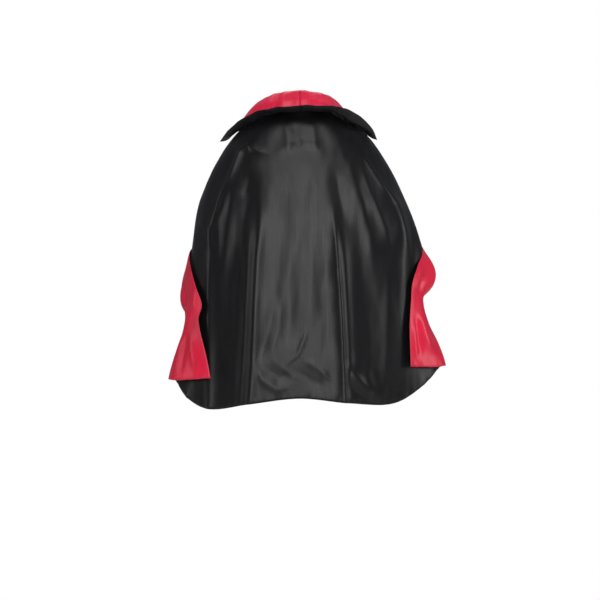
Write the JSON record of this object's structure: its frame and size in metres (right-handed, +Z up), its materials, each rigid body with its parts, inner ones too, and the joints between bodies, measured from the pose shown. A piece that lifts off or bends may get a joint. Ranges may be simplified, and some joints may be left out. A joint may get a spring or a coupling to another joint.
{
  "type": "costume cape",
  "caption": "Child's satin cape with a stiffened pointed collar turned out over the shoulders, lined front edges turned back at the sides, and a throat tab that peels open.",
  "frame": {"origin": "centre of the neck opening at the height of the neck seam", "axes": "+Z up, +Y towards the wearer's front, +X towards the wearer's right"},
  "size_m": [0.6256, 0.2127, 0.6829],
  "materials": {
    "shell_satin": "black polyester satin, semi-gloss face out, fine warp-faced weave",
    "lining_satin": "red polyester satin, glossy face towards the wearer",
    "under_collar_satin": "black polyester satin over a stiffener",
    "facing_satin": "red polyester satin over a stiffener, topstitched near the rim",
    "collar_stiffener": "white non-woven interlining, hidden between under collar and facing",
    "neckband_tape": "black folded satin band, matt inside",
    "throat_tab_satin": "black satin tab, edge-stitched",
    "hook_tape": "black nylon hook tape",
    "loop_tape": "black brushed nylon loop tape",
    "label_weave": "plain off-white woven label without text"
  },
  "bodies": {
    "root": {"shell_back_panel": "shell_satin", "shell_left_front_panel": "shell_satin", "shell_right_front_panel": "shell_satin", "lining_back_panel": "lining_satin", "lining_left_front_panel": "lining_satin", "lining_right_front_panel": "lining_satin", "under_collar_left_stand": "under_collar_satin", "under_collar_right_stand": "under_collar_satin", "collar_stiffener_left_stand": "collar_stiffener", "collar_stiffener_right_stand": "collar_stiffener", "collar_facing_left_stand": "facing_satin", "collar_facing_right_stand": "facing_satin", "neckband": "neckband_tape", "loop_strip": "loop_tape", "neck_label": "label_weave"},
    "left_collar": {"under_collar_left_wing": "under_collar_satin", "collar_stiffener_left_wing": "collar_stiffener", "collar_facing_left_wing": "facing_satin"},
    "right_collar": {"under_collar_right_wing": "under_collar_satin", "collar_stiffener_right_wing": "collar_stiffener", "collar_facing_right_wing": "facing_satin"},
    "closure": {"throat_tab": "throat_tab_satin", "hook_strip": "hook_tape"},
    "left_flap": {"shell_left_turnback": "shell_satin", "lining_left_turnback": "lining_satin"},
    "right_flap": {"shell_right_turnback": "shell_satin", "lining_right_turnback": "lining_satin"}
  },
  "joints": [
    {"name": "left_collar_turn", "type": "hinge", "parent": "root", "child": "left_collar", "pos_m": [-0.048, -0.043, 0.03], "axis": [0.0396, 0.9909, -0.1288], "range_deg": [0, 50]},
    {"name": "right_collar_turn", "type": "hinge", "parent": "root", "child": "right_collar", "pos_m": [0.048, -0.043, 0.029], "axis": [0.0397, -0.9921, 0.1191], "range_deg": [0, 50]},
    {"name": "closure_peel", "type": "hinge", "parent": "root", "child": "closure", "pos_m": [-0.038, 0.063, -0.002], "axis": [0, 0, 1], "range_deg": [0, 110]},
    {"name": "left_flap_unfold", "type": "hinge", "parent": "root", "child": "left_flap", "pos_m": [-0.271, -0.02, -0.592], "axis": [-0.1561, -0.1333, -0.9787], "range_deg": [0, 120]},
    {"name": "right_flap_unfold", "type": "hinge", "parent": "root", "child": "right_flap", "pos_m": [0.297, -0.017, -0.562], "axis": [-0.1753, 0.1427, 0.9741], "range_deg": [0, 120]}
  ]
}
